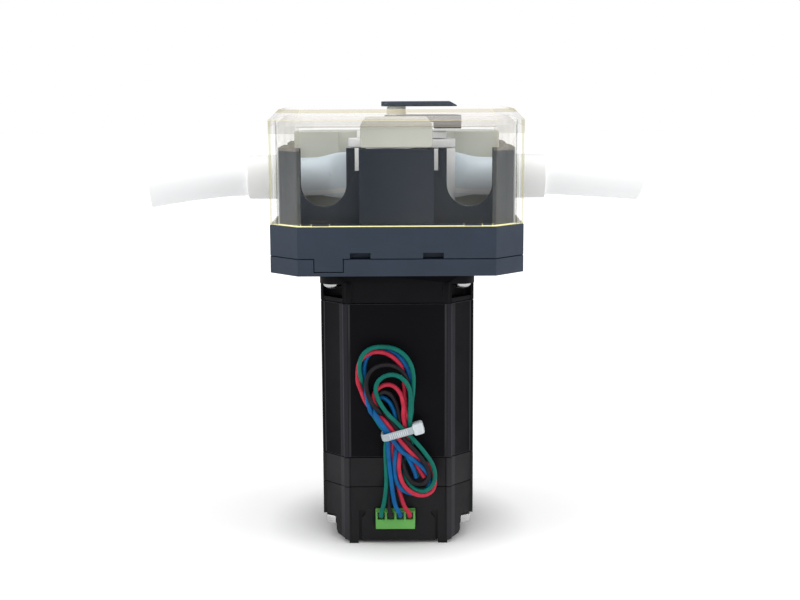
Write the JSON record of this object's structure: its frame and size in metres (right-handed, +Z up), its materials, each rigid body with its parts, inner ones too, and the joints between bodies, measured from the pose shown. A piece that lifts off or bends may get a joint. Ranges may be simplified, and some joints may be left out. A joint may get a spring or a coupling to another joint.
{
  "type": "peristaltic pump",
  "caption": "Upright stepper motor peristaltic pump with a roller head under a clear lift-off cover, a soft tube through both sides and tied motor leads.",
  "frame": {"origin": "on the shaft axis, in the plane of the four feet under the motor's rear cover", "axes": "+Z up along the shaft from motor to pump head, +X from the left tube end to the right one, -Y towards the side with the terminal plug"},
  "size_m": [0.1909, 0.086, 0.1631],
  "materials": {
    "black_metal": "satin black paint",
    "black_plastic": "matt moulded",
    "copper": "enamelled winding wire",
    "steel": "bright",
    "board_green": "solder mask",
    "terminal_green": "moulded",
    "slate_plastic": "fine moulded texture",
    "dark_plastic": "fine moulded texture",
    "beige_plastic": "moulded",
    "clear_plastic": "clear moulded plastic",
    "silicone": "translucent silicone",
    "white_plastic": "moulded",
    "nylon": "natural nylon",
    "lead_green": "wire sheath",
    "lead_black": "wire sheath",
    "lead_blue": "wire sheath",
    "lead_red": "wire sheath"
  },
  "bodies": {
    "frame": {"rear_cover": "black_plastic", "rear_bell": "black_metal", "stator_stack": "black_metal", "stator_windings": "copper", "front_bell": "black_metal", "rear_bearing": "steel", "front_bearing": "steel", "terminal_board": "board_green", "terminal_socket": "terminal_green", "terminal_plug": "terminal_green", "base_plate": "slate_plastic", "pump_body": "slate_plastic", "tube_track": "beige_plastic", "front_block": "beige_plastic", "pump_tube": "silicone", "tube_sleeve_left": "white_plastic", "tube_sleeve_right": "white_plastic", "head_bearing": "steel", "lead_green": "lead_green", "lead_black": "lead_black", "lead_blue": "lead_blue", "lead_red": "lead_red", "lead_hank": "lead_green", "cable_tie": "nylon", "head_screw_1": "steel", "head_screw_2": "steel", "head_screw_3": "steel", "head_screw_4": "steel", "rear_bolt_1": "steel", "rear_bolt_2": "steel", "rear_bolt_3": "steel", "rear_bolt_4": "steel"},
    "rotor": {"motor_shaft": "steel", "motor_rotor": "steel", "rotor_hub": "white_plastic", "lower_roller_plate": "white_plastic", "upper_roller_plate": "white_plastic", "rotor_cap": "white_plastic", "roller_pin_1": "steel", "roller_pin_2": "steel", "roller_pin_3": "steel"},
    "cover": {"clear_cover": "clear_plastic"},
    "latch": {"latch_lever": "dark_plastic", "latch_arm": "dark_plastic"},
    "roller_1": {"roller_1": "white_plastic"},
    "roller_2": {"roller_2": "white_plastic"},
    "roller_3": {"roller_3": "white_plastic"}
  },
  "joints": [
    {"name": "rotor_spin", "type": "hinge", "parent": "frame", "child": "rotor", "pos_m": [0, 0, 0.13], "axis": [0, 0, 1], "continuous": true},
    {"name": "cover_lift", "type": "slide", "parent": "frame", "child": "cover", "axis": [0, 0, 1], "range_m": [0, 0.06]},
    {"name": "latch_turn", "type": "hinge", "parent": "cover", "child": "latch", "pos_m": [0, 0, 0.16], "axis": [0, 0, 1], "range_deg": [0, 90]},
    {"name": "roller_1_spin", "type": "hinge", "parent": "rotor", "child": "roller_1", "pos_m": [0.01401, 0.00375, 0.1333], "axis": [0, 0, 1], "continuous": true},
    {"name": "roller_2_spin", "type": "hinge", "parent": "rotor", "child": "roller_2", "pos_m": [-0.01025, 0.01025, 0.1333], "axis": [0, 0, 1], "continuous": true},
    {"name": "roller_3_spin", "type": "hinge", "parent": "rotor", "child": "roller_3", "pos_m": [-0.00375, -0.01401, 0.1333], "axis": [0, 0, 1], "continuous": true}
  ],
  "couplings": [
    {"joint": "roller_1_spin", "follows": "rotor_spin", "ratio": -2.747},
    {"joint": "roller_2_spin", "follows": "rotor_spin", "ratio": -2.747},
    {"joint": "roller_3_spin", "follows": "rotor_spin", "ratio": -2.747}
  ]
}
